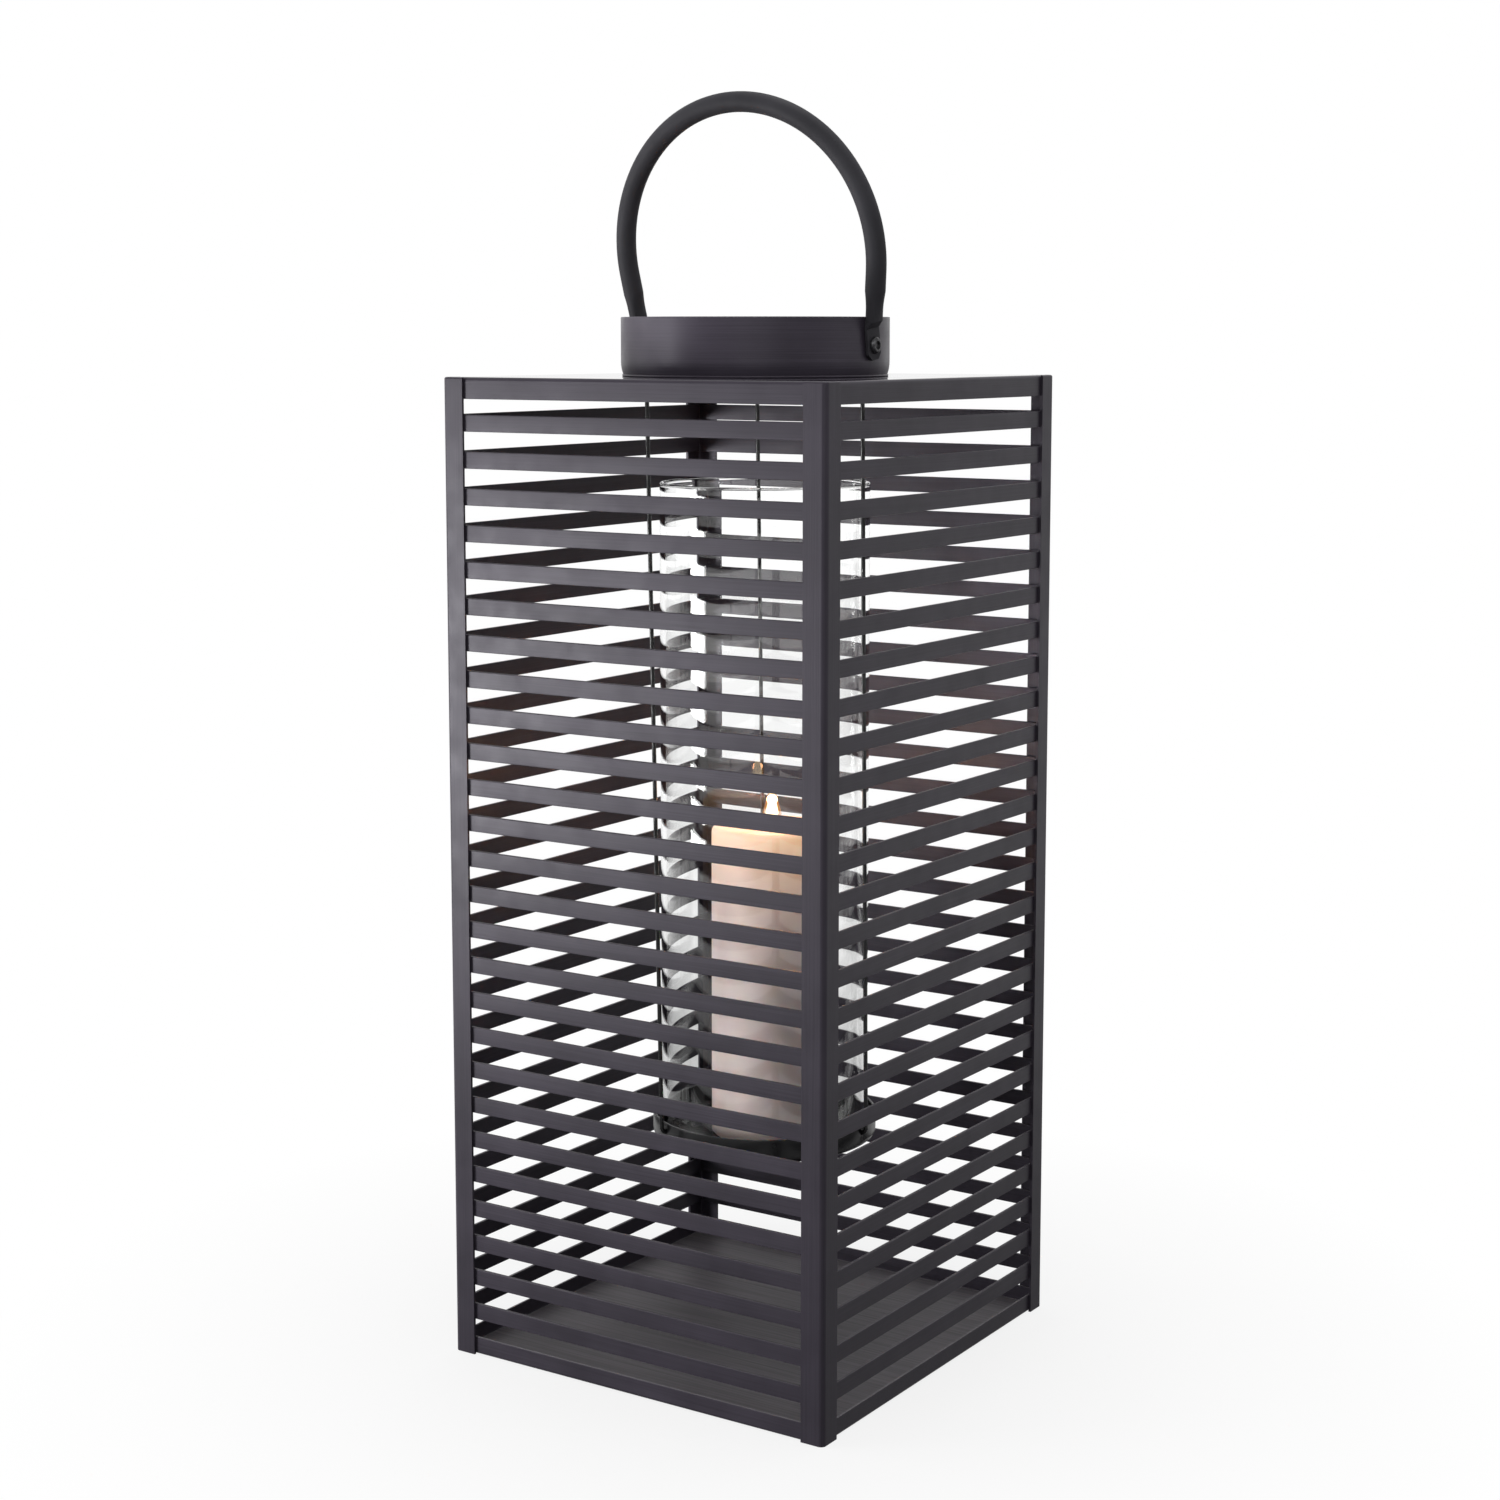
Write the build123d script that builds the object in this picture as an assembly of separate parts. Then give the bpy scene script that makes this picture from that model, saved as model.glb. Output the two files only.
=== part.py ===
"""Candle lantern: a square slatted body, a round collar with a bail handle, and a hanging candle tray.

Millimetres, +Z up. The origin is the middle of the base. The front face looks along -Y.
"""
import math
import os

from build123d import *

# Body
body_width = 250.0
sheet = 1.5
post_flange = 14.0
post_bend = 3.0
post_top_round = 1.2
base_rail_height = 10.3
base_gap = 10.45
slat_count = 26
slat_pitch = 20.35
slat_height = 9.4
top_gap = 8.6
top_rail_height = 12.0
slat_thickness = 2.0
slat_end_clearance = 0.5
pan_bend = 2.0
pan_corner = 4.0

# Collar
collar_diameter = 151.8
collar_height = 33.0
collar_draw = 1.2
collar_draw_height = 8.0
collar_bead_height = 1.1
collar_rim_round = 0.5

# Handle and its pivots
handle_bar_diameter = 11.4
handle_flare = 6.1
handle_leg_length = 41.0
handle_lean = 8.7
tab_width = 13.5
tab_thickness = 2.0
tab_round = 0.6
tab_gap = 0.5
tab_below_pivot = 8.0
tab_above_pivot = 9.5
tab_chamfer = 3.5
shoulder_width = 12.6
shoulder_thickness = 5.6
shoulder_round = 2.2
shoulder_above_pivot = 13.5
bar_above_pivot = 30.0
pivot_height = 17.4
pivot_diameter = 4.0
pivot_clearance = 0.1
pivot_end_clearance = 0.1
rivet_head_diameter = 9.4
rivet_head_height = 2.2
rivet_recess_diameter = 4.8
rivet_recess_depth = 1.2
rivet_foot_diameter = 7.0
rivet_foot_height = 0.9
seat_clearance = 0.05

# Hanging tray
rod_diameter = 2.4
rod_bend_radius = 3.0
rod_angles = {"right": 2.5, "back": 122.5, "front": 242.5}
rod_top_radius = 69.0
rod_foot_radius = 67.5
rod_foot_tip_radius = 61.3
rod_foot_height = 9.0
rod_hole_clearance = 0.2
hook_lift = 0.3
hook_tip_clearance = 0.4
opening_clearance = 1.5
tray_diameter = 130.0
tray_height = 14.0
tray_corner = 4.0
tray_level = 119.5
tray_shift_x = 4.6
tray_shift_y = 3.0

# Glass and candle
stand_clearance = 0.05
glass_diameter = 120.0
glass_wall = 3.0
glass_height = 378.5
glass_rim_round = 1.2
candle_diameter = 70.0
candle_height = 180.7
candle_shift_x = 3.6
candle_shift_y = 2.3
candle_edge_round = 4.0
melt_radius = 27.0
melt_depth = 3.0
wick_diameter = 2.2
wick_clearance = 0.1
wick_stand = 9.0

# Places that follow from those sizes
lowest_slat = base_rail_height + base_gap
top_rail_level = lowest_slat + (slat_count - 1) * slat_pitch + slat_height + top_gap
body_height = top_rail_level + top_rail_height
pan_width = body_width - 2 * sheet
slat_length = body_width - 2 * (sheet + slat_thickness + slat_end_clearance)
slat_offset = body_width / 2 - sheet - slat_thickness / 2
collar_radius = collar_diameter / 2
collar_foot_inside = collar_radius - collar_draw - sheet
opening_radius = rod_top_radius + rod_diameter / 2 + opening_clearance
pivot_level = body_height + pivot_height
tab_centre = collar_radius + tab_gap + tab_thickness / 2
handle_bend_radius = tab_centre + handle_flare
handle_bend_rise = math.sqrt(handle_bend_radius ** 2 + handle_leg_length ** 2 - tab_centre ** 2)
pivot_hole_diameter = pivot_diameter + 2 * pivot_clearance
tray_floor = tray_level + sheet
tray_centre = Pos(tray_shift_x, tray_shift_y, 0)
stand_level = tray_floor + stand_clearance
candle_centre = tray_centre * Pos(candle_shift_x, candle_shift_y, 0)


def corner_post(side_x, side_y):
    """One L-section corner, cut from a bent square tube the size of the body."""
    tube = extrude(RectangleRounded(body_width, body_width, post_bend), body_height)
    tube = fillet(tube.faces().sort_by(Axis.Z)[-1].edges(), post_top_round)
    tube -= extrude(RectangleRounded(pan_width, pan_width, post_bend - sheet), body_height)
    reach = body_width / 2 - post_flange / 2
    corner = Pos(side_x * reach, side_y * reach) * Rectangle(post_flange, post_flange)
    return tube & extrude(corner, body_height)


def face_slats(turn):
    """The flat bars of one face, made for the front and turned to their own side."""
    bars = []
    for step in range(slat_count):
        bar = Box(slat_length, slat_thickness, slat_height, align=(Align.CENTER, Align.CENTER, Align.MIN))
        bars.append(Rot(0, 0, turn) * Pos(0, -slat_offset, lowest_slat + step * slat_pitch) * bar)
    return Compound(bars)


def folded_pan(skirt):
    """A square pan with its floor at z = 0 and its skirt standing up."""
    outer = extrude(RectangleRounded(pan_width, pan_width, pan_corner), skirt)
    outer = fillet(outer.faces().sort_by(Axis.Z)[0].edges(), pan_bend)
    inside_width = pan_width - 2 * sheet
    inner = extrude(RectangleRounded(inside_width, inside_width, pan_corner - sheet), skirt)
    inner = fillet(inner.faces().sort_by(Axis.Z)[0].edges(), pan_bend - sheet)
    return outer - Pos(0, 0, sheet) * inner


def top_plate():
    """The pan turned over, with the round opening that the tray hangs in."""
    plate = Pos(0, 0, body_height) * Rot(180, 0, 0) * folded_pan(top_rail_height)
    return plate - Pos(0, 0, body_height) * Cylinder(opening_radius, 4 * sheet)


def collar():
    """Round neck that curves in to a thin bead at its foot, drilled for the two pivots."""
    inside = collar_radius - sheet
    foot = collar_radius - collar_draw
    outer_curve = TangentArc(
        (collar_radius, 0, collar_draw_height), (foot, 0, collar_bead_height), tangent=(0, 0, -1)
    )
    inner_curve = TangentArc((inside, 0, collar_draw_height), (collar_foot_inside, 0, 0), tangent=(0, 0, -1))
    wall = Polyline(
        outer_curve @ 0, (collar_radius, 0, collar_height), (inside, 0, collar_height), inner_curve @ 0
    )
    bead_middle = (foot + collar_bead_height / 2, 0, collar_bead_height / 2)
    bead = ThreePointArc(outer_curve @ 1, bead_middle, (foot, 0, 0))
    floor = Line(bead @ 1, inner_curve @ 1)
    neck = revolve(make_face(wall + outer_curve + bead + floor + inner_curve), Axis.Z)
    neck = fillet(neck.faces().sort_by(Axis.Z)[-1].edges(), collar_rim_round)
    drill = Pos(0, 0, pivot_height) * Rot(0, 90, 0) * Cylinder(pivot_hole_diameter / 2, 2 * collar_diameter)
    return Pos(0, 0, body_height) * (neck - drill)


def both_sides(piece):
    """A piece on the +X side of the collar and its mirror image on the -X side."""
    return Compound([piece, mirror(piece, Plane.YZ)])


def along_pivot(start, diameter, length):
    """A round bar on the handle's pivot axis, running outwards from x = start."""
    bar = Cylinder(diameter / 2, length, align=(Align.CENTER, Align.CENTER, Align.MIN))
    return Pos(start, 0, pivot_level) * Rot(0, 90, 0) * bar


def pivot_rivets():
    """Round-headed pivots with a hollow in the head, closed by a thin foot inside the collar."""
    inside = collar_radius - sheet
    foot_face = math.sqrt(inside ** 2 - (rivet_foot_diameter / 2) ** 2) - seat_clearance
    foot_start = foot_face - rivet_foot_height
    head_start = tab_centre + tab_thickness / 2 + pivot_end_clearance
    head = along_pivot(head_start, rivet_head_diameter, rivet_head_height)
    head = fillet(head.faces().sort_by(Axis.X)[-1].edges(), 0.8 * rivet_head_height)
    recess_start = head_start + rivet_head_height - rivet_recess_depth
    head -= along_pivot(recess_start, rivet_recess_diameter, rivet_head_height)
    rivet = along_pivot(foot_start, pivot_diameter, head_start - foot_start)
    rivet += along_pivot(foot_start, rivet_foot_diameter, rivet_foot_height)
    return both_sides(rivet + head)


def handle_end(leg):
    """One flattened tab and its passage over a shoulder to the round bar, with the pivot at the origin."""
    tab_length = tab_below_pivot + tab_above_pivot
    section = RectangleRounded(tab_thickness, tab_width, tab_round)
    tab = Pos(tab_centre, 0, -tab_below_pivot) * extrude(section, tab_length)
    outline = Pos(0, (tab_above_pivot - tab_below_pivot) / 2) * Rectangle(tab_width, tab_length)
    outline = chamfer(outline.vertices().sort_by(Axis.Y)[:2], tab_chamfer)
    tab &= extrude(Plane.YZ * outline, 2 * tab_centre)
    tab -= Pos(tab_centre, 0, 0) * Rot(0, 90, 0) * Cylinder(pivot_hole_diameter / 2, 2 * tab_thickness)
    across = Plane(Vector(tab_centre, 0, 0), x_dir=(leg.Z, 0, -leg.X), z_dir=leg)
    shoulder = RectangleRounded(shoulder_thickness, shoulder_width, shoulder_round)
    shoulder = across.offset(shoulder_above_pivot) * shoulder
    bar_start = across.offset(bar_above_pivot) * Circle(handle_bar_diameter / 2)
    neck = loft([Pos(tab_centre, 0, tab_above_pivot) * section, shoulder])
    return tab + neck + loft([shoulder, bar_start])


def handle():
    """The bail: two legs that run tangent into one round bend, leaning a little to the front."""
    reach = math.hypot(tab_centre, handle_bend_rise)
    turn = math.acos(handle_bend_radius / reach) - math.atan2(handle_bend_rise, tab_centre)
    shoulder = Vector(
        handle_bend_radius * math.cos(turn), 0, handle_bend_rise + handle_bend_radius * math.sin(turn)
    )
    leg = (shoulder - Vector(tab_centre, 0, 0)).normalized()
    start = Vector(tab_centre, 0, 0) + leg * bar_above_pivot
    crown = Vector(0, 0, handle_bend_rise + handle_bend_radius)
    far_shoulder = Vector(-shoulder.X, 0, shoulder.Z)
    far_start = Vector(-start.X, 0, start.Z)
    bend = ThreePointArc(shoulder, crown, far_shoulder)
    path = Line(start, shoulder) + bend + Line(far_shoulder, far_start)
    bar = sweep(Plane(start, z_dir=leg) * Circle(handle_bar_diameter / 2), path=path)
    end = handle_end(leg)
    bail = bar + end + mirror(end, Plane.YZ)
    return Pos(0, 0, pivot_level) * Rot(handle_lean, 0, 0) * bail


def around(centre, angle, radius, height):
    """A point at an angle round an upright axis through a centre."""
    turn = math.radians(angle)
    return Vector(centre.X + radius * math.cos(turn), centre.Y + radius * math.sin(turn), height)


def hanger_rod(angle):
    """A thin rod with its top hooked over the opening and its foot hooked into the tray's wall."""
    middle = Vector(0, 0, 0)
    below = tray_centre.position
    hook_level = body_height + rod_diameter / 2 + hook_lift
    foot_level = tray_level + rod_foot_height
    path = FilletPolyline(
        around(middle, angle, collar_foot_inside - hook_tip_clearance, hook_level),
        around(middle, angle, rod_top_radius, hook_level),
        around(below, angle, rod_foot_radius, foot_level),
        around(below, angle, rod_foot_tip_radius, foot_level),
        radius=rod_bend_radius,
    )
    return sweep(Plane(path @ 0, z_dir=path % 0) * Circle(rod_diameter / 2), path=path)


def candle_tray():
    """A pressed round dish with a rounded bottom edge and a hole in its wall for each rod."""
    radius = tray_diameter / 2
    dish = Cylinder(radius, tray_height, align=(Align.CENTER, Align.CENTER, Align.MIN))
    dish = fillet(dish.faces().sort_by(Axis.Z)[0].edges(), tray_corner)
    hollow = Cylinder(radius - sheet, tray_height, align=(Align.CENTER, Align.CENTER, Align.MIN))
    hollow = fillet(hollow.faces().sort_by(Axis.Z)[0].edges(), tray_corner - sheet)
    dish -= Pos(0, 0, sheet) * hollow
    hole = Cylinder(rod_diameter / 2 + rod_hole_clearance, 4 * sheet)
    for angle in rod_angles.values():
        dish -= Rot(0, 0, angle) * Pos(radius - sheet / 2, 0, rod_foot_height) * Rot(0, 90, 0) * hole
    return tray_centre * Pos(0, 0, tray_level) * dish


def glass_cylinder():
    """A clear open cylinder with polished, rounded ends."""
    radius = glass_diameter / 2
    ring = Circle(radius) - Circle(radius - glass_wall)
    tube = extrude(ring, glass_height)
    ends = tube.edges().filter_by(GeomType.CIRCLE)
    return tray_centre * Pos(0, 0, stand_level) * fillet(ends, glass_rim_round)


def candle():
    """A pillar candle with a rounded shoulder, a shallow melted hollow and a bore for the wick."""
    wax = Cylinder(candle_diameter / 2, candle_height, align=(Align.CENTER, Align.CENTER, Align.MIN))
    wax = fillet(wax.faces().sort_by(Axis.Z)[-1].edges(), candle_edge_round)
    bowl_radius = (melt_radius ** 2 + melt_depth ** 2) / (2 * melt_depth)
    wax -= Pos(0, 0, candle_height - melt_depth + bowl_radius) * Sphere(bowl_radius)
    wax -= Cylinder(wick_diameter / 2 + wick_clearance, 3 * candle_height)
    return candle_centre * Pos(0, 0, stand_level) * wax


def wick():
    """The cotton wick, from the candle's foot to a little above its melted hollow."""
    length = candle_height - melt_depth + wick_stand
    cord = Cylinder(wick_diameter / 2, length, align=(Align.CENTER, Align.CENTER, Align.MIN))
    cord = fillet(cord.faces().sort_by(Axis.Z)[-1].edges(), wick_diameter / 4)
    return candle_centre * Pos(0, 0, stand_level) * cord


pieces = {
    "corner_post_front_left": corner_post(-1, -1),
    "corner_post_front_right": corner_post(1, -1),
    "corner_post_back_right": corner_post(1, 1),
    "corner_post_back_left": corner_post(-1, 1),
    "top_plate": top_plate(),
    "base_pan": folded_pan(base_rail_height),
    "collar": collar(),
    "pivot_rivets": pivot_rivets(),
    "handle": handle(),
    "candle_tray": candle_tray(),
    "glass_cylinder": glass_cylinder(),
    "candle": candle(),
    "wick": wick(),
}
faces = ["front", "right", "back", "left"]
for step, face in enumerate(faces):
    pieces["slats_" + face] = face_slats(step * 360 / len(faces))
for side, angle in rod_angles.items():
    pieces["hanger_rod_" + side] = hanger_rod(angle)

os.makedirs("parts", exist_ok=True)
for name, piece in pieces.items():
    export_step(piece, "parts/" + name + ".step")
print(len(pieces), "pieces, body", body_width, "x", body_height, "mm")
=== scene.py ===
# %% [markdown]
# Dressing a slatted candle lantern
#
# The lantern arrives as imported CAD: a square frame of flat bars, a round collar with a bail handle,
# and a tray on three rods that carries a glass cylinder and a candle. The CAD gives every size, so
# this lesson adds only what a camera sees: soft edges, paint, clear glass, wax and a small flame.
# We keep the CAD box first, so that the last cell can show that nothing has grown.

# %% Load the lantern
import math

import bmesh
import bpy
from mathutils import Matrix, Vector


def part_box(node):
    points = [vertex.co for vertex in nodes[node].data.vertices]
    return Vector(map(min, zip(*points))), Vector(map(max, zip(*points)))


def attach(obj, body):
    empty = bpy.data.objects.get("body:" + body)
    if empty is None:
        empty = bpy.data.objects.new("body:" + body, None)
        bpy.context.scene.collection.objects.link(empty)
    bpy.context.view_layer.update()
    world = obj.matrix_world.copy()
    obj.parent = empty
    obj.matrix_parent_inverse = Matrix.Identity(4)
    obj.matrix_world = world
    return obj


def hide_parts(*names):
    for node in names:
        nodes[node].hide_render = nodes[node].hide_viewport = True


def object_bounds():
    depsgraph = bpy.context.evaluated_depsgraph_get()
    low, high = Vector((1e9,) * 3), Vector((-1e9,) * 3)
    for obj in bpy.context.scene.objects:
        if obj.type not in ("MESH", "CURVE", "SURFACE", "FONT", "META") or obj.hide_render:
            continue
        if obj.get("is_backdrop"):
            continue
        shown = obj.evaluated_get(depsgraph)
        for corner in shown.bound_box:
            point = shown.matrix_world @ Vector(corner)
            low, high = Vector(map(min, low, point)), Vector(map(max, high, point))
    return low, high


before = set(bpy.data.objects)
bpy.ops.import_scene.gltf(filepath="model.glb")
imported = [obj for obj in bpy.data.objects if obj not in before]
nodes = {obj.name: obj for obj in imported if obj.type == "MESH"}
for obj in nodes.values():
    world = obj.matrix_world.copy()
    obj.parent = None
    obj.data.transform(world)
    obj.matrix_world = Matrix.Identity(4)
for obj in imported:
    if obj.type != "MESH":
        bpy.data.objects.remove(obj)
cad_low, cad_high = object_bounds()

print(len(nodes), "CAD nodes, box", [round(side, 4) for side in cad_high - cad_low], "m")

# %% [markdown]
# Camera
#
# The picture is taken from about the height of the collar, a little over a third of a right angle
# round to the right of the front face. A longer lens from further off would make the bars look
# parallel; here they clearly converge, so the distance and the heading were solved from the bars' own
# lines. A small shift of the lens takes in the foot of the lantern, so the camera itself tips down
# less and the posts stay nearly upright.

# %% Place the camera
CAMERA_PLACE = (0.83405, -1.26816, 0.58474)
HEADING = 33.445
PITCH = 7.035
FOCAL_LENGTH = 64.01
SENSOR_WIDTH = 36.0
LENS_SHIFT = -0.06

camera = bpy.data.objects.new("camera", bpy.data.cameras.new("camera"))
bpy.context.scene.collection.objects.link(camera)
camera.location = CAMERA_PLACE
camera.rotation_euler = (math.radians(90 - PITCH), 0, math.radians(HEADING))
camera.data.sensor_width = SENSOR_WIDTH
camera.data.lens = FOCAL_LENGTH
camera.data.shift_y = LENS_SHIFT
bpy.context.scene.camera = camera
bpy.context.scene.view_settings.view_transform = "Standard"
print("camera", round(camera.location.length, 3), "m from the foot of the lantern")

# %% [markdown]
# Node helpers
#
# Every finish below is a small tree of shader nodes. Writing each node by hand takes about four
# lines, so a few helpers do it: they add a node and fill its sockets, calculate with two values,
# stretch a value from one span to another, and mix two values or two colours. A socket can take a
# number or another node's output. The Mix node keeps sockets of one name for each kind of data, so
# its sockets are reached by number.

# %% Make helpers for shader nodes
MIX_SHARE = 0
MIX_VALUES = (2, 3)
MIX_COLOURS = (6, 7)
MIXED_COLOUR = 2


def add_node(tree, kind, sockets=(), **settings):
    """A shader node with its settings and (socket, value or link) pairs filled in."""
    node = tree.nodes.new(kind)
    for name, value in settings.items():
        setattr(node, name, value)
    for socket, value in sockets:
        if isinstance(value, bpy.types.NodeSocket):
            tree.links.new(value, node.inputs[socket])
        else:
            node.inputs[socket].default_value = value
    return node


def calculate(tree, operation, first, second):
    """One operation on two values."""
    return add_node(tree, "ShaderNodeMath", [(0, first), (1, second)], operation=operation).outputs[0]


def stretch(tree, value, from_low, from_high, to_low, to_high):
    """The value, moved from one span to another and held inside it."""
    spans = [("Value", value), ("From Min", from_low), ("From Max", from_high)]
    spans += [("To Min", to_low), ("To Max", to_high)]
    return add_node(tree, "ShaderNodeMapRange", spans).outputs["Result"]


def mix_values(tree, share, first, second):
    """Two values mixed by a share from 0 to 1."""
    sockets = [(MIX_SHARE, share), *zip(MIX_VALUES, (first, second))]
    return add_node(tree, "ShaderNodeMix", sockets).outputs[0]


def mix_colours(tree, share, first, second, blend_type="MIX"):
    """Two colours mixed by a share from 0 to 1."""
    sockets = [(MIX_SHARE, share), *zip(MIX_COLOURS, (first, second))]
    mix = add_node(tree, "ShaderNodeMix", sockets, data_type="RGBA", blend_type=blend_type)
    return mix.outputs[MIXED_COLOUR]


print("node helpers ready")

# %% [markdown]
# Pattern helpers
#
# Paint, wax and glass are never quite even. Image textures could show that, but a noise needs no
# files and no unwrapping, and it moves with its piece. One helper makes soft blotches, two turn them
# into a value that wanders between two limits or into patches, one squeezes them into streaks, one
# reads how far up a vector goes, one adds a fine relief, and the last starts a new finish.

# %% Make helpers for patterns
NOISE_LOW = 0.3
NOISE_HIGH = 0.7
PATCH_FROM = 0.35


def noise(tree, place, scale, detail=2.0):
    """Soft random blotches; scale counts them per metre."""
    sockets = [("Vector", place), ("Scale", scale), ("Detail", detail)]
    return add_node(tree, "ShaderNodeTexNoise", sockets).outputs["Fac"]


def uneven(tree, blotches, low, high):
    """A value that wanders between two limits; most of a noise lies in its middle span."""
    return stretch(tree, blotches, NOISE_LOW, NOISE_HIGH, low, high)


def patches(tree, blotches):
    """Blotches turned into patches, from 0 beside them to 1 inside."""
    return stretch(tree, blotches, PATCH_FROM, NOISE_HIGH, 0.0, 1.0)


def squeezed(tree, place, stretch_by):
    """Coordinates squeezed along some axes, which turns blotches into streaks."""
    sockets = [(0, place), (1, stretch_by)]
    return add_node(tree, "ShaderNodeVectorMath", sockets, operation="MULTIPLY").outputs[0]


def upward_part(tree, vector):
    """How far up a vector goes: a place's height, or how much a face looks up."""
    return add_node(tree, "ShaderNodeSeparateXYZ", [(0, vector)]).outputs["Z"]


def add_relief(tree, shader, height, strength, depth):
    """Fine unevenness on the surface; depth is in metres."""
    sockets = [("Height", height), ("Strength", strength), ("Distance", depth)]
    bump = add_node(tree, "ShaderNodeBump", sockets)
    tree.links.new(bump.outputs["Normal"], shader.inputs["Normal"])


def new_finish(name):
    """A material, its node tree, its Principled shader and its object coordinates."""
    material = bpy.data.materials.new(name)
    material.use_nodes = True
    tree = material.node_tree
    place = add_node(tree, "ShaderNodeTexCoord").outputs["Object"]
    return material, tree, tree.nodes["Principled BSDF"], place


print("pattern helpers ready")

# %% [markdown]
# White world
#
# The lantern stands on white, yet the light on it is moderate. Lamps strong enough to burn the
# background out would also wash out the dark paint. So the world is white only to rays that show it
# as it is, to the camera, in a reflection or through the glass, and to all other rays it is a softer
# light. Each of the four faces that a ray crosses in the glass turns some light away, so the white
# behind it is raised by that loss.

# %% Make the white world
LIGHT_LEVEL = 0.19
GLASS_LOSS = 0.17
WHITE = (1.0, 1.0, 1.0, 1.0)


def seen_directly(tree):
    """1 for rays that show the background as it is: camera, mirror and glass rays, not yet scattered."""
    rays = add_node(tree, "ShaderNodeLightPath").outputs
    plain = calculate(tree, "MAXIMUM", rays["Is Camera Ray"], rays["Is Glossy Ray"])
    direct = calculate(tree, "MAXIMUM", plain, rays["Is Transmission Ray"])
    unscattered = stretch(tree, rays["Diffuse Depth"], 0.0, 1.0, 1.0, 0.0)
    return calculate(tree, "MULTIPLY", direct, unscattered)


def paper_white(tree):
    """White to the camera, and raised by the glass's loss to rays that come through it."""
    through_glass = add_node(tree, "ShaderNodeLightPath").outputs["Is Transmission Ray"]
    return stretch(tree, through_glass, 0.0, 1.0, 1.0, 1.0 + GLASS_LOSS)


world = bpy.data.worlds.new("white_studio")
bpy.context.scene.world = world
world.use_nodes = True
sky = world.node_tree
sky_light = sky.nodes["Background"]
sky_light.inputs["Color"].default_value = WHITE
level = mix_values(sky, seen_directly(sky), LIGHT_LEVEL, paper_white(sky))
sky.links.new(level, sky_light.inputs["Strength"])
print("world lights the lantern at", LIGHT_LEVEL)

# %% [markdown]
# Floor
#
# The lantern stands on a white studio floor. The floor could be left out and the shadow painted in
# later, but a real plane, a hair below the base, keeps the shadow in step with the lantern.

# %% Lay the floor
FLOOR_SIZE = 8.0
FLOOR_DROP = 0.0003

floor_mesh = bpy.data.meshes.new("floor")
half = FLOOR_SIZE / 2
corners = [(-half, -half, 0), (half, -half, 0), (half, half, 0), (-half, half, 0)]
floor_mesh.from_pydata(corners, [], [(0, 1, 2, 3)])
floor = bpy.data.objects.new("floor", floor_mesh)
floor.location.z = -FLOOR_DROP
bpy.context.scene.collection.objects.link(floor)
floor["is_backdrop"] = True
print("floor", FLOOR_SIZE, "m wide")

# %% [markdown]
# White paper with a soft shadow
#
# A white floor shows hardly a shadow. Lit by the lamps alone it would be grey, so its finish is plain
# white with a share of true shading, which is largest under the lantern and fades out well before the
# floor's edge. In the reflections on the paint the floor is darker close to the lantern, which stands
# in its light.

# %% Make the floor white with a soft shadow
SHADOW_START = 0.1
SHADOW_REACH = 0.45
SHADOW_SHARE = 0.2
MIRROR_START = 0.15
MIRROR_REACH = 1.4
MIRROR_DARKEST = 0.45
PAPER = (0.9, 0.9, 0.9, 1.0)
BOUNCE = (0.12, 0.12, 0.12, 1.0)

paper, tree, shader, place = new_finish("white_floor")
tree.nodes.remove(shader)
distance = add_node(tree, "ShaderNodeVectorMath", [(0, place)], operation="LENGTH").outputs["Value"]
shading = stretch(tree, distance, SHADOW_START, SHADOW_REACH, SHADOW_SHARE, 0.0)
lit = add_node(tree, "ShaderNodeBsdfDiffuse", [("Color", PAPER)]).outputs[0]
mirrored = add_node(tree, "ShaderNodeLightPath").outputs["Is Glossy Ray"]
shaded = stretch(tree, distance, MIRROR_START, MIRROR_REACH, MIRROR_DARKEST, 1.0)
strength = mix_values(tree, mirrored, paper_white(tree), shaded)
white = add_node(tree, "ShaderNodeEmission", [("Strength", strength)]).outputs[0]
shown = add_node(tree, "ShaderNodeMixShader", [(0, shading), (1, white), (2, lit)]).outputs[0]
bounced = add_node(tree, "ShaderNodeBsdfDiffuse", [("Color", BOUNCE)]).outputs[0]
sides = [(0, seen_directly(tree)), (1, bounced), (2, shown)]
both = add_node(tree, "ShaderNodeMixShader", sides).outputs[0]
tree.links.new(both, tree.nodes["Material Output"].inputs["Surface"])
floor_mesh.materials.append(paper)
print("shadow fades out", SHADOW_REACH, "m from the middle")

# %% [markdown]
# Lamps
#
# The bars of the front are lightest on the left and darken to the right, as satin paint does when a
# lamp stands near its mirror direction. So the key panel stands low on the left, close to where the
# camera would see it if the front were a mirror. A wide panel further left softens its shadows, one
# above the camera lights the collar and the handle, a weak one lights the right face, and one overhead
# reaches down through the collar. All are soft, because small hard lamps would print the bars'
# shadows sharply on one another.

# %% Hang the lamps
AIM = (0.0, 0.0, 0.4)


def soft_panel(name, place, size, watts):
    """A square area lamp that looks at the middle of the lantern."""
    lamp = bpy.data.lights.new(name, "AREA")
    lamp.size = size
    lamp.energy = watts
    panel = bpy.data.objects.new(name, lamp)
    bpy.context.scene.collection.objects.link(panel)
    panel.location = place
    panel.rotation_euler = (Vector(AIM) - Vector(place)).to_track_quat("-Z", "Y").to_euler()
    return panel


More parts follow.
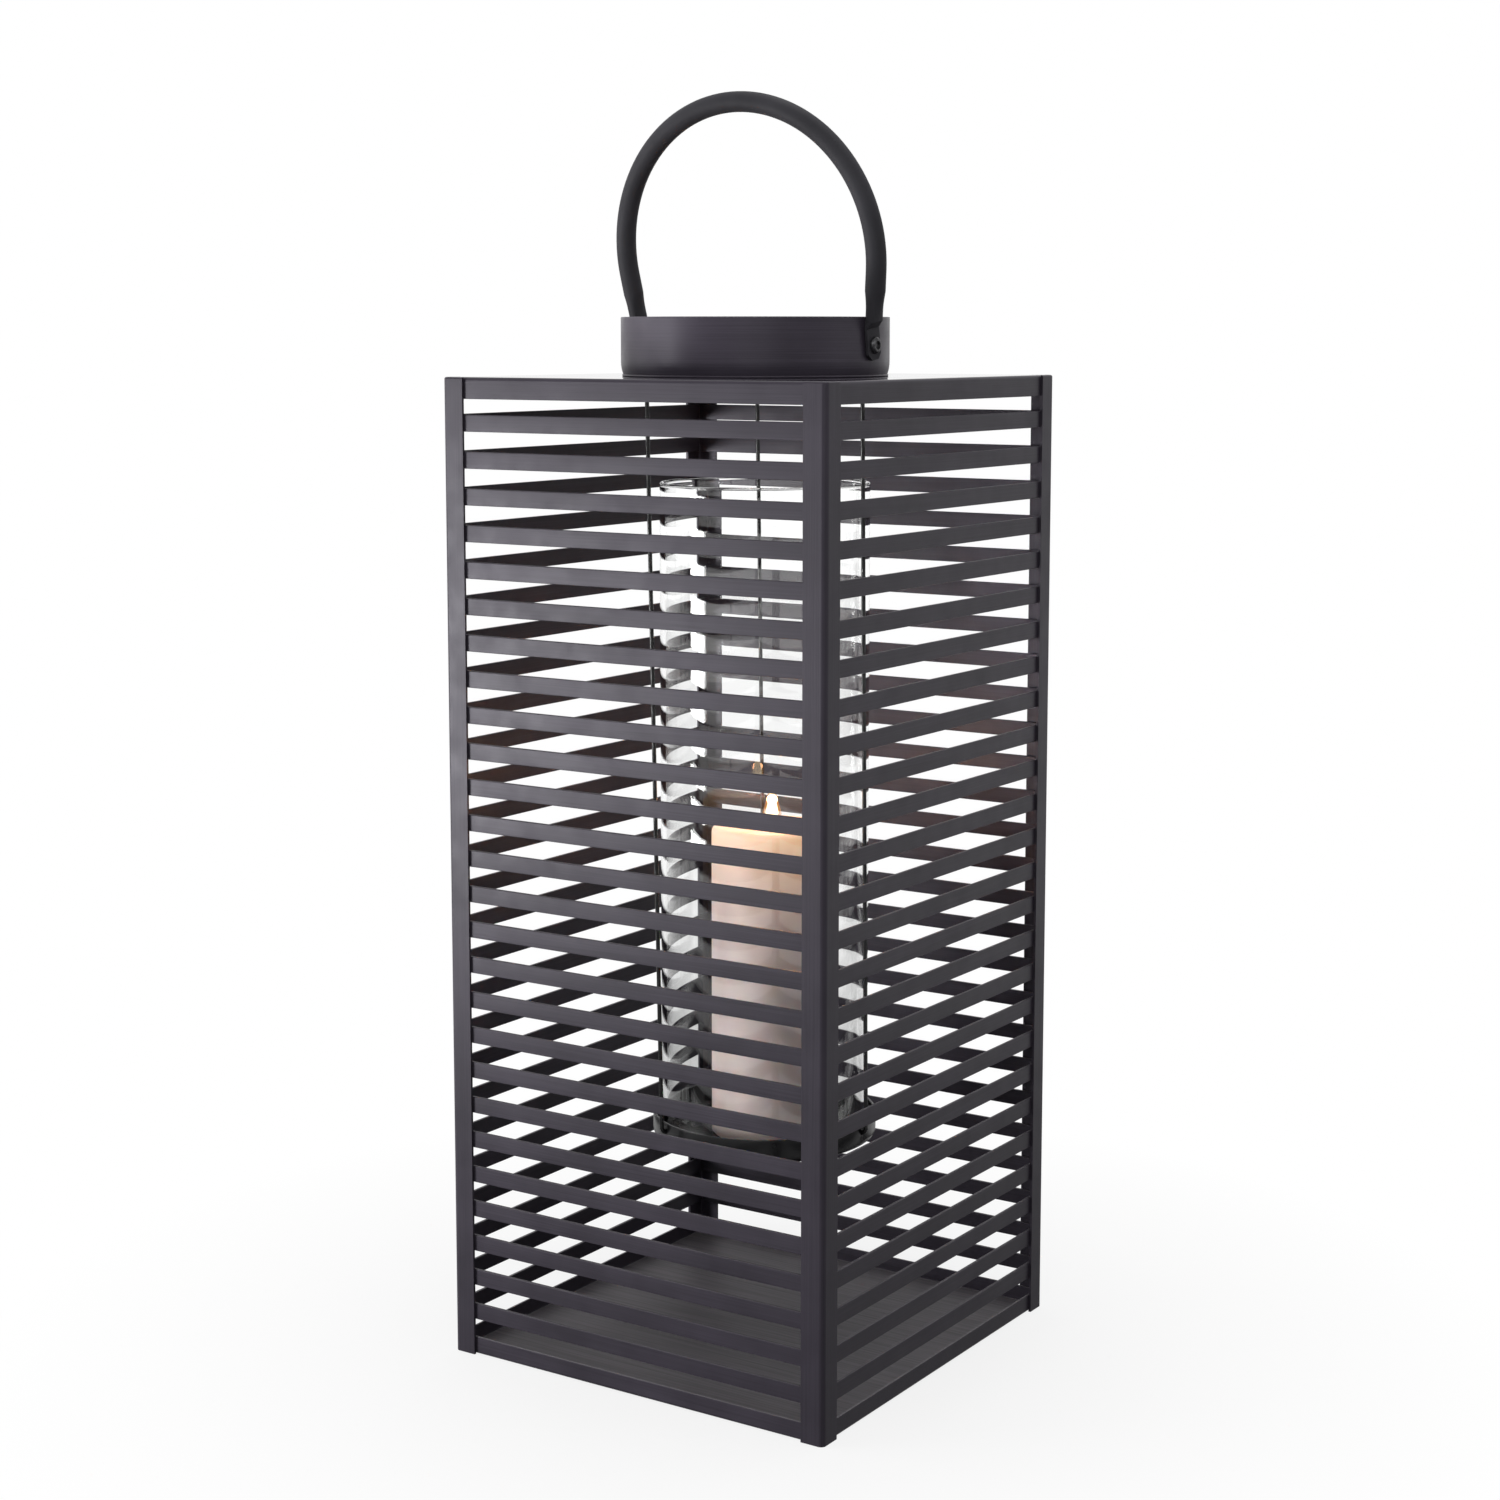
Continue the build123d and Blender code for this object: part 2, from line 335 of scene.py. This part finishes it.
panels = [
    soft_panel("key_panel", place=(-1.06, -1.08, 0.21), size=0.5, watts=19.5),
    soft_panel("left_panel", place=(-2.1, -0.8, 0.9), size=1.0, watts=8.0),
    soft_panel("front_panel", place=(0.75, -1.25, 1.05), size=0.8, watts=6.0),
    soft_panel("right_panel", place=(2.2, 0.7, 1.1), size=0.8, watts=3.0),
    soft_panel("top_panel", place=(0.0, 0.2, 2.2), size=1.0, watts=15.0),
]
print(len(panels), "soft panels")

# %% [markdown]
# Soft edges on the sheet metal
#
# Real sheet and bar have no knife edges: the coat rounds them by a few tenths of a millimetre, and
# that narrow round is what draws a bright line along every bar. The CAD edges are sharp. We could
# model the rounds in CAD, but a Bevel modifier does it for all 104 bars at once and leaves the CAD
# mesh alone. The import splits the mesh at its sharp edges, so a Weld joins it first, and a Weighted
# Normal at the end keeps the broad faces flat.

# %% Round the edges of bars, posts and pans
EDGE_ROUND = 0.0004
EDGE_ANGLE = math.radians(35)
EDGE_STEPS = 2
WELD_WITHIN = 0.000005


def soften(node, width):
    """Rounds a node's sharp edges by a modifier."""
    weld = node.modifiers.new("weld", "WELD")
    weld.merge_threshold = WELD_WITHIN
    bevel = node.modifiers.new("soft_edge", "BEVEL")
    bevel.width = width
    bevel.segments = EDGE_STEPS
    bevel.limit_method = "ANGLE"
    bevel.angle_limit = EDGE_ANGLE
    bevel.loop_slide = False
    node.modifiers.new("flat_faces", "WEIGHTED_NORMAL")


BARS = ["slats_front", "slats_right", "slats_back", "slats_left"]
CORNERS = ["front_left", "front_right", "back_right", "back_left"]
POSTS = ["corner_post_" + corner for corner in CORNERS]
PANS = ["top_plate", "base_pan"]
for name in BARS + POSTS + PANS:
    soften(nodes[name], EDGE_ROUND)
print("edges rounded by", EDGE_ROUND * 1000, "mm on", len(BARS + POSTS + PANS), "nodes")

# %% [markdown]
# Charcoal paint: its colour
#
# The frame wears a charcoal coat with a faint violet cast. Seen close, brushed lines in the sheet
# show through it, and every bar has taken the coat a little differently. One noise gives slow changes
# of tone, a second, squeezed into streaks, gives the brushing, and Random Per Island gives each bar
# its own tone. Faces that look up are paler, most of it along the brushed lines, partly from dust and
# partly from painted light falling from above, so the surface normal says where it goes. The collar's
# coat is painted paler as a whole, which stands in for light falling on it.

# %% Mix the charcoal colour
COAT_DARK = (0.029, 0.025, 0.0335, 1.0)
COAT_LIGHT = (0.043, 0.037, 0.050, 1.0)
# A pale grey for the faces that look up: partly dust, partly painted light from above.
DUST_AND_TOP_LIGHT = (0.24, 0.225, 0.24, 1.0)
CLOUDS_PER_METRE = 16.0
LINE_CONTRAST = 0.14
BAR_CONTRAST = 0.1
DUST_AND_LIGHT_LEAST = 0.6
LEVEL_FROM = 0.6


def charcoal_tone(tree, place, lines, painted_light_paleness):
    """The coat's colour: slow clouds, brushed lines and a tone for each bar; a paleness above 1 is
    painted light on the whole coat.
    """
    clouds = uneven(tree, noise(tree, place, CLOUDS_PER_METRE, detail=3.0), 0.0, 1.0)
    tone = mix_colours(tree, clouds, COAT_DARK, COAT_LIGHT)
    line_tone = uneven(tree, lines, 1 - LINE_CONTRAST, 1 + LINE_CONTRAST)
    each_bar = add_node(tree, "ShaderNodeNewGeometry").outputs["Random Per Island"]
    # A paleness above 1 paints light onto the whole coat.
    palest = (1 + BAR_CONTRAST) * painted_light_paleness
    bar_tone = stretch(tree, each_bar, 0.0, 1.0, (1 - BAR_CONTRAST) * painted_light_paleness, palest)
    return mix_colours(tree, 1.0, tone, calculate(tree, "MULTIPLY", line_tone, bar_tone), "MULTIPLY")


def dusted_and_lit(tree, tone, lines, upward, dust_and_light_share):
    """The colour made paler on the faces that look up: partly dust, partly painted light from above."""
    # Upward faces are made paler: partly settled dust, partly painted light from above.
    settled_dust_and_light = stretch(tree, upward, LEVEL_FROM, 1.0, 0.0, dust_and_light_share)
    dust_and_light = calculate(tree, "MULTIPLY", settled_dust_and_light, uneven(tree, lines, DUST_AND_LIGHT_LEAST, 1.0))
    return mix_colours(tree, dust_and_light, tone, DUST_AND_TOP_LIGHT)


print("charcoal from", COAT_DARK[:3], "to", COAT_LIGHT[:3])

# %% [markdown]
# Charcoal paint: its surface
#
# The coat is satin, with a fine orange peel over the brushed lines. On the level faces the surface
# normal takes that relief away and sets a gloss of its own, because the plate on top is smooth enough
# to mirror the collar at a low angle. The brushing runs along the bars and up the posts, so each kind
# of piece squeezes its noise along other axes, and each has its own share of dust and painted light
# on the faces that look up.

# %% Paint the frame
ALONG_BARS = (14.0, 14.0, 1800.0)
UP_POSTS = (1500.0, 1500.0, 12.0)
ALONG_BASE = (14.0, 700.0, 1800.0)
COAT_ROUGHNESS = (0.33, 0.43)
DULL_SPOTS_PER_METRE = 70.0
COAT_SHINE = 0.19
COAT_SHINE_TINT = (0.94, 0.92, 1.0, 1.0)
PEEL_PER_METRE = 1500.0
PEEL_STRENGTH = 0.12
PEEL_DEPTH = 0.0002
SMOOTH_FROM = 0.9


def charcoal_paint(name, brushing, dust_and_light_share, top_gloss=0.45, painted_light_paleness=1.0):
    """Satin paint over brushed sheet; `brushing` squeezes the noise into lines."""
    material, tree, shader, place = new_finish(name)
    lines = noise(tree, squeezed(tree, place, brushing), 1.0, detail=3.0)
    upward = upward_part(tree, add_node(tree, "ShaderNodeNewGeometry").outputs["Normal"])
    tone = charcoal_tone(tree, place, lines, painted_light_paleness)
    tree.links.new(dusted_and_lit(tree, tone, lines, upward, dust_and_light_share), shader.inputs["Base Color"])
    smooth = stretch(tree, upward, SMOOTH_FROM, 1.0, 0.0, 1.0)
    satin = uneven(tree, noise(tree, place, DULL_SPOTS_PER_METRE, detail=3.0), *COAT_ROUGHNESS)
    tree.links.new(mix_values(tree, smooth, satin, top_gloss), shader.inputs["Roughness"])
    shader.inputs["Specular IOR Level"].default_value = COAT_SHINE
    shader.inputs["Specular Tint"].default_value = COAT_SHINE_TINT
    peel = calculate(tree, "ADD", noise(tree, place, PEEL_PER_METRE), lines)
    add_relief(tree, shader, peel, stretch(tree, smooth, 0.0, 1.0, PEEL_STRENGTH, 0.0), PEEL_DEPTH)
    return material


def dress(node, material):
    """Puts one finish on a CAD node."""
    node.data.materials.clear()
    node.data.materials.append(material)


# Each share of dust also sets how much painted light from above the upward faces take.
bar_paint = charcoal_paint("charcoal_bars", ALONG_BARS, dust_and_light_share=0.35)
post_paint = charcoal_paint("charcoal_posts", UP_POSTS, dust_and_light_share=0.35)
for name in BARS:
    dress(nodes[name], bar_paint)
# The collar's coat is painted paler, which stands in for light falling on it.
dress(nodes["collar"], charcoal_paint("charcoal_collar", ALONG_BARS, dust_and_light_share=0.6, painted_light_paleness=1.6))
dress(nodes["top_plate"], charcoal_paint("charcoal_top", ALONG_BARS, dust_and_light_share=0.1, top_gloss=0.03))
dress(nodes["base_pan"], charcoal_paint("charcoal_base", ALONG_BASE, dust_and_light_share=0.8))
for name in POSTS:
    dress(nodes[name], post_paint)
print("charcoal paint on", len(BARS + PANS + POSTS) + 1, "nodes")

# %% [markdown]
# Black handle, rods and tray
#
# The bail is a smooth bar in dull black. The rods and the tray under the candle are glossier. Both
# coats are one recipe with other numbers: a colour that changes a little in blotches, a span of
# roughness, the strength of the shine and of the fine ripple in the coat. Two separate materials
# would be as good, but a function keeps what they share in one place.

# %% Mix the black coats
BAIL_BLACK = (0.034, 0.0332, 0.038, 1.0)
TRAY_BLACK = (0.008, 0.008, 0.009, 1.0)
PALER = 1.5
BLOTCHES_PER_METRE = 28.0
GLOSS_SPOTS_PER_METRE = 60.0
RIPPLES_PER_METRE = 900.0
RIPPLE_DEPTH = 0.0002
TRAY_ROUND = 0.0003


def black_coat(name, colour, roughness, ripple, shine):
    """Black enamel with uneven gloss and a fine ripple."""
    material, tree, shader, place = new_finish(name)
    blotches = patches(tree, noise(tree, place, BLOTCHES_PER_METRE, detail=4.0))
    paler = tuple(channel * PALER for channel in colour[:3]) + (1.0,)
    tree.links.new(mix_colours(tree, blotches, colour, paler), shader.inputs["Base Color"])
    gloss = uneven(tree, noise(tree, place, GLOSS_SPOTS_PER_METRE, detail=3.0), *roughness)
    tree.links.new(gloss, shader.inputs["Roughness"])
    shader.inputs["Specular IOR Level"].default_value = shine
    add_relief(tree, shader, noise(tree, place, RIPPLES_PER_METRE), ripple, RIPPLE_DEPTH)
    return material


dull_black = black_coat("satin_black_bail", BAIL_BLACK, roughness=(0.56, 0.66), ripple=0.10, shine=0.10)
dress(nodes["handle"], dull_black)
gloss_black = black_coat("gloss_black_tray", TRAY_BLACK, roughness=(0.16, 0.28), ripple=0.05, shine=0.5)
HANGER = ["candle_tray", "hanger_rod_right", "hanger_rod_back", "hanger_rod_front"]
for name in HANGER:
    dress(nodes[name], gloss_black)
soften(nodes["candle_tray"], TRAY_ROUND)
print("black coats on the bail and", len(HANGER), "hanging nodes")

# %% [markdown]
# Pivots
#
# Each leg of the bail turns on a round-headed pivot of dark steel. The metal is blackened, so most
# of it is nearly black, with patches that are rubbed to a duller grey. A painted mask could place the
# patches by hand; on a head of a few millimetres a noise does as well.

# %% Finish the pivots
BLACKENED = (0.025, 0.025, 0.027, 1.0)
RUBBED = (0.10, 0.10, 0.105, 1.0)
BLACKENED_ROUGHNESS = 0.45
RUBBED_ROUGHNESS = 0.28
RUBS_PER_METRE = 420.0
RUBBED_FROM = 0.4
BARE_METAL = 0.7


def blackened_steel(name):
    """Dark metal with rubbed patches."""
    material, tree, shader, place = new_finish(name)
    rubs = noise(tree, place, RUBS_PER_METRE, detail=3.0)
    rubbed = stretch(tree, rubs, RUBBED_FROM, NOISE_HIGH, 0.0, 1.0)
    tree.links.new(mix_colours(tree, rubbed, BLACKENED, RUBBED), shader.inputs["Base Color"])
    shader.inputs["Metallic"].default_value = BARE_METAL
    roughness = stretch(tree, rubbed, 0.0, 1.0, BLACKENED_ROUGHNESS, RUBBED_ROUGHNESS)
    tree.links.new(roughness, shader.inputs["Roughness"])
    return material


dress(nodes["pivot_rivets"], blackened_steel("blackened_steel"))
print("pivots finished")

# %% [markdown]
# Turning round pieces
#
# Glass, wax and flame are all turned shapes. A profile of radius and height points is enough for
# each, and bmesh's spin carries it once round the axis. A Screw modifier would do the same, but the
# mesh made here can be joined and its normals set at once. Many fine steps matter, because glass
# shows every facet twice, in reflection and in refraction.

# %% Make a lathe
JOIN_WITHIN = 0.000001


def turned(name, profile, sides, centre):
    """A mesh spun from (radius, height) points round an upright axis through centre."""
    work = bmesh.new()
    line = [work.verts.new((radius, 0, height)) for radius, height in profile]
    edges = [work.edges.new(pair) for pair in zip(line, line[1:])]
    spun = dict(cent=(0, 0, 0), axis=(0, 0, 1), angle=math.tau, steps=sides, use_merge=True)
    bmesh.ops.spin(work, geom=line + edges, **spun)
    bmesh.ops.remove_doubles(work, verts=work.verts, dist=JOIN_WITHIN)
    bmesh.ops.recalc_face_normals(work, faces=work.faces)
    mesh = bpy.data.meshes.new(name)
    work.to_mesh(mesh)
    work.free()
    mesh.shade_smooth()
    piece = bpy.data.objects.new(name, mesh)
    piece.location = centre
    bpy.context.scene.collection.objects.link(piece)
    return piece


def rounded_corner(radius, height, bend, start, steps=6):
    """Points of a quarter bend about (radius, height), turning from a starting angle."""
    angles = [math.radians(start + 90 * step / steps) for step in range(steps + 1)]
    return [(radius + bend * math.cos(a), height + bend * math.sin(a)) for a in angles]


print("lathe ready")

# %% [markdown]
# Glass cylinder
#
# A clear tube stands in the tray round the candle. The CAD tube is right but faceted, so a finer one
# takes its place: the same radius, wall and height, read from the node's own box, with fire-polished
# round ends. An extra ring just inside each round end keeps the smooth shading of the long wall
# straight.

# %% Turn the glass
GLASS_WALL = 0.003
GLASS_ROUND = 0.0012
GLASS_SIDES = 192

glass_low, glass_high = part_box("glass_cylinder")
glass_centre = (glass_low + glass_high) / 2
outer = (glass_high.x - glass_low.x) / 2
inner = outer - GLASS_WALL
tall = glass_high.z - glass_low.z
straight_low = 2 * GLASS_ROUND
straight_high = tall - 2 * GLASS_ROUND
profile = rounded_corner(outer - GLASS_ROUND, GLASS_ROUND, GLASS_ROUND, -90)
profile += [(outer, straight_low), (outer, straight_high)]
profile += rounded_corner(outer - GLASS_ROUND, tall - GLASS_ROUND, GLASS_ROUND, 0)
profile += rounded_corner(inner + GLASS_ROUND, tall - GLASS_ROUND, GLASS_ROUND, 90)
profile += [(inner, straight_high), (inner, straight_low)]
profile += rounded_corner(inner + GLASS_ROUND, GLASS_ROUND, GLASS_ROUND, 180)
profile.append(profile[0])
glass = turned("glass_tube", profile, GLASS_SIDES, (glass_centre.x, glass_centre.y, glass_low.z))
print("glass", round(outer * 2000, 1), "mm across,", round(tall * 1000, 1), "mm tall")

# %% [markdown]
# Clear glass
#
# The glass is clear, with a few faint smears that a hand leaves when it sets the tube down. A Glass
# shader would do, but the Principled one is what a glTF file can carry. Glass throws almost no shadow,
# and tracing the bright lines that it focuses would only add noise, so its shadow is switched off.

# %% Make the glass clear
GLASS_TINT = (0.997, 1.0, 0.998, 1.0)
GLASS_IOR = 1.48
DOWN_GLASS = (30.0, 30.0, 9.0)
SMEAR_FROM = 0.66
SMEAR_FULL = 0.8
SMEAR_ROUGHNESS = 0.02

clear, tree, shader, place = new_finish("clear_glass")
shader.inputs["Base Color"].default_value = GLASS_TINT
shader.inputs["Transmission Weight"].default_value = 1.0
shader.inputs["IOR"].default_value = GLASS_IOR
smears = noise(tree, squeezed(tree, place, DOWN_GLASS), 1.0, detail=4.0)
smeared = stretch(tree, smears, SMEAR_FROM, SMEAR_FULL, 0.0, SMEAR_ROUGHNESS)
tree.links.new(smeared, shader.inputs["Roughness"])
shader.inputs["Specular IOR Level"].default_value = 0.0
glass.visible_shadow = False
glass.data.materials.append(clear)
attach(glass, "glass")
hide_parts("glass_cylinder")
print("glass bends light by", GLASS_IOR)

# %% [markdown]
# Candle
#
# The pillar has a rounded shoulder and a shallow hollow of melted wax round the wick. The CAD candle
# has both; turning it again from the same sizes gives it finer steps, which the soft light on the
# shoulder needs.

# %% Turn the candle
SHOULDER = 0.004
FOOT_EDGE = 0.001
MELT_RADIUS = 0.027
MELT_DEPTH = 0.003
WAX_RINGS = 24
MELT_RINGS = 12
WAX_SIDES = 96

candle_low, candle_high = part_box("candle")
candle_centre = (candle_low + candle_high) / 2
wax_radius = (candle_high.x - candle_low.x) / 2
wax_tall = candle_high.z - candle_low.z
profile = [(0.0, 0.0), (wax_radius - FOOT_EDGE, 0.0), (wax_radius, FOOT_EDGE)]
profile += [(wax_radius, wax_tall * ring / WAX_RINGS) for ring in range(1, WAX_RINGS - 1)]
profile += rounded_corner(wax_radius - SHOULDER, wax_tall - SHOULDER, SHOULDER, 0)
for ring in range(MELT_RINGS + 1):
    share = 1 - ring / MELT_RINGS
    profile.append((MELT_RADIUS * share, wax_tall - MELT_DEPTH * (1 - share * share)))
pillar = turned("pillar_candle", profile, WAX_SIDES, (candle_centre.x, candle_centre.y, candle_low.z))
print("candle", round(wax_radius * 2000, 1), "mm across,", round(wax_tall * 1000, 1), "mm tall")

# %% [markdown]
# Wax
#
# Cream wax is slightly mottled and lets light in, so it has subsurface scattering. Near the flame it
# glows. Scattering alone would need many samples to carry the flame's light down the side, so a weak
# warm emission, which dies away below the top, stands for the light that the wax has soaked up.

# %% Make the wax
WAX_DARK = (0.66, 0.545, 0.52, 1.0)
WAX_LIGHT = (0.74, 0.63, 0.60, 1.0)
WAX_ROUGHNESS = (0.38, 0.52)
MOTTLES_PER_METRE = 38.0
WAX_SPOTS_PER_METRE = 90.0
SCATTER_SHARE = 0.6
SCATTER_COLOURS = (1.0, 0.55, 0.3)
SCATTER_DEPTH = 0.008
GLOW_REACH = 0.1
GLOW_FADE = 2.9
GLOW_STRENGTH = 0.6
GLOW_LOW = (0.9, 0.40, 0.24, 1.0)
GLOW_HIGH = (1.0, 0.60, 0.27, 1.0)
DOWN_WAX = (60.0, 60.0, 25.0)
WAX_RIPPLE = 0.15
WAX_RIPPLE_DEPTH = 0.0006

wax, tree, shader, place = new_finish("cream_wax")
mottle = patches(tree, noise(tree, place, MOTTLES_PER_METRE, detail=4.0))
tree.links.new(mix_colours(tree, mottle, WAX_DARK, WAX_LIGHT), shader.inputs["Base Color"])
shader.inputs["Subsurface Weight"].default_value = SCATTER_SHARE
shader.inputs["Subsurface Radius"].default_value = SCATTER_COLOURS
shader.inputs["Subsurface Scale"].default_value = SCATTER_DEPTH
satin = uneven(tree, noise(tree, place, WAX_SPOTS_PER_METRE), *WAX_ROUGHNESS)
tree.links.new(satin, shader.inputs["Roughness"])
nearness = stretch(tree, upward_part(tree, place), wax_tall - GLOW_REACH, wax_tall, 0.0, 1.0)
tree.links.new(mix_colours(tree, nearness, GLOW_LOW, GLOW_HIGH), shader.inputs["Emission Color"])
falloff = calculate(tree, "POWER", nearness, GLOW_FADE)
glow = stretch(tree, falloff, 0.0, 1.0, 0.0, GLOW_STRENGTH)
tree.links.new(glow, shader.inputs["Emission Strength"])
ripple = noise(tree, squeezed(tree, place, DOWN_WAX), 1.0, detail=3.0)
add_relief(tree, shader, ripple, WAX_RIPPLE, WAX_RIPPLE_DEPTH)
pillar.data.materials.append(wax)
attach(pillar, "candle")
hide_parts("candle")
print("wax glows", GLOW_REACH * 1000, "mm down from the top")

# %% [markdown]
# Wick
#
# A lit wick is a thin braided cord that leans over as it burns, black below and with a small ember
# at its tip. A plain tube with a bump would look like wire from close by, so three strands wound
# round a bent line give the braid its real shape.

# %% Braid the wick
STRANDS = 3
STRAND_RADIUS = 0.00052
WIND_RADIUS = 0.00052
TURNS = 2.5
STRAND_STEPS = 36
STRAND_SMOOTHNESS = 3
WICK_SHOWN = 0.0125
WICK_LEAN = 0.0006
TIP_MARGIN = 0.0006

wick_low, wick_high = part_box("wick")
wick_x = (wick_low.x + wick_high.x) / 2
wick_y = (wick_low.y + wick_high.y) / 2
wick_foot = wick_high.z - WICK_SHOWN


def wick_line(share):
    """The bent middle line of the wick above the melted wax."""
    lean = WICK_LEAN * share * share
    return Vector((wick_x - lean, wick_y - lean, wick_foot + (WICK_SHOWN - TIP_MARGIN) * share))


braid = bpy.data.curves.new("burnt_wick", "CURVE")
braid.dimensions = "3D"
braid.bevel_depth = STRAND_RADIUS
braid.bevel_resolution = STRAND_SMOOTHNESS
braid.use_fill_caps = True
for strand in range(STRANDS):
    spline = braid.splines.new("POLY")
    spline.points.add(STRAND_STEPS)
    for index, point in enumerate(spline.points):
        share = index / STRAND_STEPS
        turn = math.tau * (TURNS * share + strand / STRANDS)
        at = wick_line(share) + Vector((math.cos(turn), math.sin(turn), 0)) * WIND_RADIUS
        point.co = (*at, 1.0)
burnt_wick = bpy.data.objects.new("burnt_wick", braid)
bpy.context.scene.collection.objects.link(burnt_wick)
print("wick of", STRANDS, "strands")

# %% [markdown]
# Burnt cotton
#
# The wick is charred cotton: almost black and quite dull, with paler fibres here and there. The ember
# is only the last two millimetres, so the height along the wick tells where the glow begins.

# %% Char the wick
CHAR_DARK = (0.012, 0.010, 0.009, 1.0)
CHAR_LIGHT = (0.06, 0.05, 0.042, 1.0)
CHAR_ROUGHNESS = 0.9
FIBRES_PER_METRE = 2600.0
EMBER = (1.0, 0.28, 0.05, 1.0)
EMBER_TALL = 0.0018
EMBER_STRENGTH = 2.0

cotton, tree, shader, place = new_finish("burnt_cotton")
fibres = patches(tree, noise(tree, place, FIBRES_PER_METRE, detail=3.0))
tree.links.new(mix_colours(tree, fibres, CHAR_DARK, CHAR_LIGHT), shader.inputs["Base Color"])
shader.inputs["Roughness"].default_value = CHAR_ROUGHNESS
ember_foot = wick_high.z - EMBER_TALL
ember = stretch(tree, upward_part(tree, place), ember_foot, wick_high.z, 0.0, EMBER_STRENGTH)
shader.inputs["Emission Color"].default_value = EMBER
tree.links.new(ember, shader.inputs["Emission Strength"])
braid.materials.append(cotton)
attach(burnt_wick, "candle")
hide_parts("wick")
print("ember", EMBER_TALL * 1000, "mm tall")

# %% [markdown]
# Flame
#
# The flame is a small teardrop of light. A smoke simulation would be far too heavy for something
# this small, so a turned teardrop does it, inside a second, wider one for the faint veil round it.

# %% Turn the flame
FLAME_TALL = 0.022
FLAME_WIDE = 0.0042
FLAME_ROUND = 0.12
FLAME_TAPER = 1.1
FLAME_RINGS = 22
FLAME_SIDES = 40
FLAME_SINK = 0.0012
VEIL_SINK = 0.0008
VEIL_TALL = FLAME_TALL * 1.12
VEIL_WIDE = FLAME_WIDE * 1.5

flame_foot = wick_high.z - FLAME_SINK


def teardrop(tall, wide):
    """Profile of a flame: round below, drawn out to a point above."""
    points = [(0.0, 0.0)]
    for ring in range(1, FLAME_RINGS):
        share = ring / FLAME_RINGS
        rounding = math.sqrt(1 - (1 - min(share / FLAME_ROUND, 1.0)) ** 2)
        points.append((wide * (1 - share) ** FLAME_TAPER * rounding, tall * share))
    return points + [(0.0, tall)]


core_place = (wick_x, wick_y, flame_foot)
veil_place = (wick_x, wick_y, flame_foot - VEIL_SINK)
core = turned("flame_core", teardrop(FLAME_TALL, FLAME_WIDE), FLAME_SIDES, core_place)
veil = turned("flame_veil", teardrop(VEIL_TALL, VEIL_WIDE), FLAME_SIDES, veil_place)
print("flame", FLAME_TALL * 1000, "mm tall")

# %% [markdown]
# The flame's glow
#
# A candle flame is pale yellow below and more orange towards its tip, and its veil is orange
# throughout. Both shine by themselves and reflect nothing, so their own colour is black and all the
# light comes from the emission. The veil is nearly clear, so that the core shows through it.

# %% Make the flame glow
CORE_LOW = (1.0, 0.86, 0.55, 1.0)
CORE_HIGH = (1.0, 0.68, 0.28, 1.0)
VEIL_LOW = (1.0, 0.42, 0.10, 1.0)
VEIL_HIGH = (1.0, 0.36, 0.08, 1.0)
FLICKERS_PER_METRE = 180.0
FLICKER = (0.9, 1.1)
BLACK = (0.0, 0.0, 0.0, 1.0)


def flame_light(name, low_colour, high_colour, strength, opacity, tall):
    """A finish that shines by itself, changing from its foot to its tip."""
    material, tree, shader, place = new_finish(name)
    share = stretch(tree, upward_part(tree, place), 0.0, tall, 0.0, 1.0)
    tree.links.new(mix_colours(tree, share, low_colour, high_colour), shader.inputs["Emission Color"])
    flicker = uneven(tree, noise(tree, place, FLICKERS_PER_METRE), *FLICKER)
    power = calculate(tree, "MULTIPLY", flicker, strength)
    tree.links.new(power, shader.inputs["Emission Strength"])
    shader.inputs["Base Color"].default_value = BLACK
    shader.inputs["Specular IOR Level"].default_value = 0.0
    shader.inputs["Alpha"].default_value = opacity
    return material


core_glow = flame_light("flame_core", CORE_LOW, CORE_HIGH, strength=4.0, opacity=1.0, tall=FLAME_TALL)
veil_glow = flame_light("flame_veil", VEIL_LOW, VEIL_HIGH, strength=1.0, opacity=0.3, tall=VEIL_TALL)
for part, glow in ((core, core_glow), (veil, veil_glow)):
    part.data.materials.append(glow)
    part.visible_shadow = False
    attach(part, "candle")
print("flame glows in", len((core, veil)), "layers")

# %% [markdown]
# Candlelight
#
# A flame warms the wax, the glass and the nearest bars. The glowing mesh could light them by itself,
# but it is so small that its light would be full of noise, so a tiny point lamp rides with it.

# %% Add the flame's light
CANDLE_WATTS = 0.12
CANDLE_COLOUR = (1.0, 0.45, 0.2)
CANDLE_SIZE = 0.003
LAMP_SHARE = 0.45

lamp = bpy.data.lights.new("flame_lamp", "POINT")
lamp.energy = CANDLE_WATTS
lamp.color = CANDLE_COLOUR
lamp.shadow_soft_size = CANDLE_SIZE
flame_lamp = bpy.data.objects.new("flame_lamp", lamp)
bpy.context.scene.collection.objects.link(flame_lamp)
flame_lamp.location = (wick_x, wick_y, flame_foot + FLAME_TALL * LAMP_SHARE)
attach(flame_lamp, "candle")
print("flame lamp of", CANDLE_WATTS, "W")

# %% [markdown]
# Measure
#
# Dressing must not change the lantern's size.

# %% Compare the boxes
new_low, new_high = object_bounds()
for label, box in (("CAD", cad_high - cad_low), ("dressed", new_high - new_low)):
    print(label, "box", [round(side, 4) for side in box])
